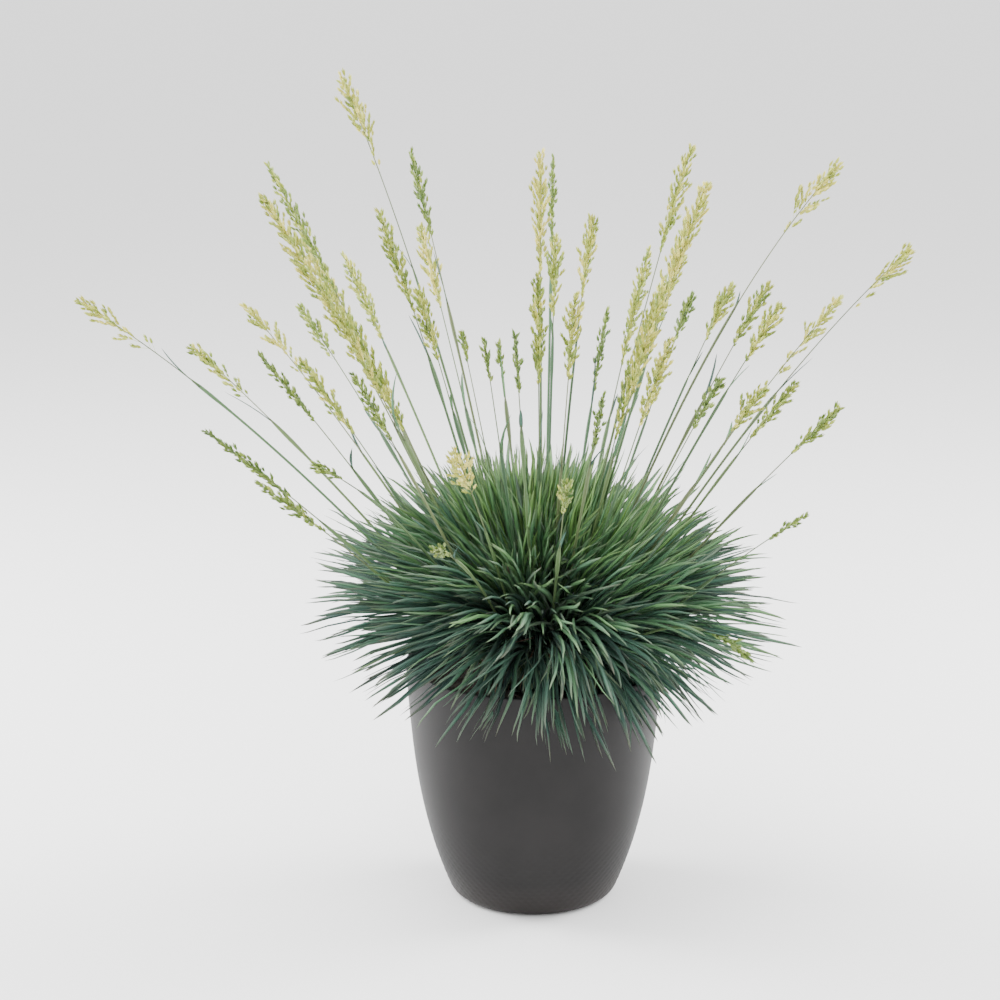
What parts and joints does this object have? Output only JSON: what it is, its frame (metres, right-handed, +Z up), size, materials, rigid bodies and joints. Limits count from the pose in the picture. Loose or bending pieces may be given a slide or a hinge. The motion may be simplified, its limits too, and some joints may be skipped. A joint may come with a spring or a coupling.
{
  "type": "potted ornamental grass clump",
  "caption": "Dense blue-green clump of ornamental grass with upright flower stems and feathery seed heads, in a round tapered anthracite plastic pot.",
  "frame": {"origin": "centre of the flat base of the pot", "axes": "+Z up along the pot's axis, -Y towards the viewer of the plant's best side, +X to that viewer's right"},
  "size_m": [0.5936, 0.4324, 0.593],
  "materials": {
    "pot_plastic": "satin moulded anthracite, finely embossed near the base",
    "compost": "dark, damp, crumbly potting compost",
    "grass_leaf": "matt blue-green leaves with a waxy bloom",
    "flower_stem": "grey-green culms, cream to green seed heads"
  },
  "bodies": {
    "root": {"pot": "pot_plastic", "soil": "compost", "leaf_clump": "grass_leaf", "flower_stem_01": "flower_stem", "flower_stem_02": "flower_stem", "flower_stem_03": "flower_stem", "flower_stem_04": "flower_stem", "flower_stem_05": "flower_stem", "flower_stem_06": "flower_stem", "flower_stem_07": "flower_stem", "flower_stem_08": "flower_stem", "flower_stem_09": "flower_stem", "flower_stem_10": "flower_stem", "flower_stem_11": "flower_stem", "flower_stem_12": "flower_stem", "flower_stem_13": "flower_stem", "flower_stem_14": "flower_stem", "flower_stem_15": "flower_stem", "flower_stem_16": "flower_stem", "flower_stem_17": "flower_stem", "flower_stem_18": "flower_stem", "flower_stem_19": "flower_stem", "flower_stem_20": "flower_stem", "flower_stem_21": "flower_stem", "flower_stem_22": "flower_stem", "flower_stem_23": "flower_stem", "flower_stem_24": "flower_stem", "flower_stem_25": "flower_stem", "flower_stem_26": "flower_stem", "flower_stem_27": "flower_stem", "flower_stem_28": "flower_stem", "flower_stem_29": "flower_stem", "flower_stem_30": "flower_stem", "flower_stem_31": "flower_stem", "flower_stem_32": "flower_stem", "flower_stem_33": "flower_stem", "flower_stem_34": "flower_stem", "flower_stem_35": "flower_stem", "flower_stem_36": "flower_stem", "flower_stem_37": "flower_stem", "flower_stem_38": "flower_stem", "flower_stem_39": "flower_stem", "flower_stem_40": "flower_stem", "flower_stem_41": "flower_stem", "flower_stem_42": "flower_stem", "flower_stem_43": "flower_stem", "flower_stem_44": "flower_stem", "flower_stem_45": "flower_stem", "flower_stem_46": "flower_stem", "flower_stem_47": "flower_stem", "flower_stem_48": "flower_stem", "flower_stem_49": "flower_stem", "flower_stem_50": "flower_stem", "flower_stem_51": "flower_stem", "flower_stem_52": "flower_stem", "flower_stem_53": "flower_stem", "flower_stem_54": "flower_stem", "flower_stem_55": "flower_stem", "flower_stem_56": "flower_stem"}
  },
  "joints": []
}
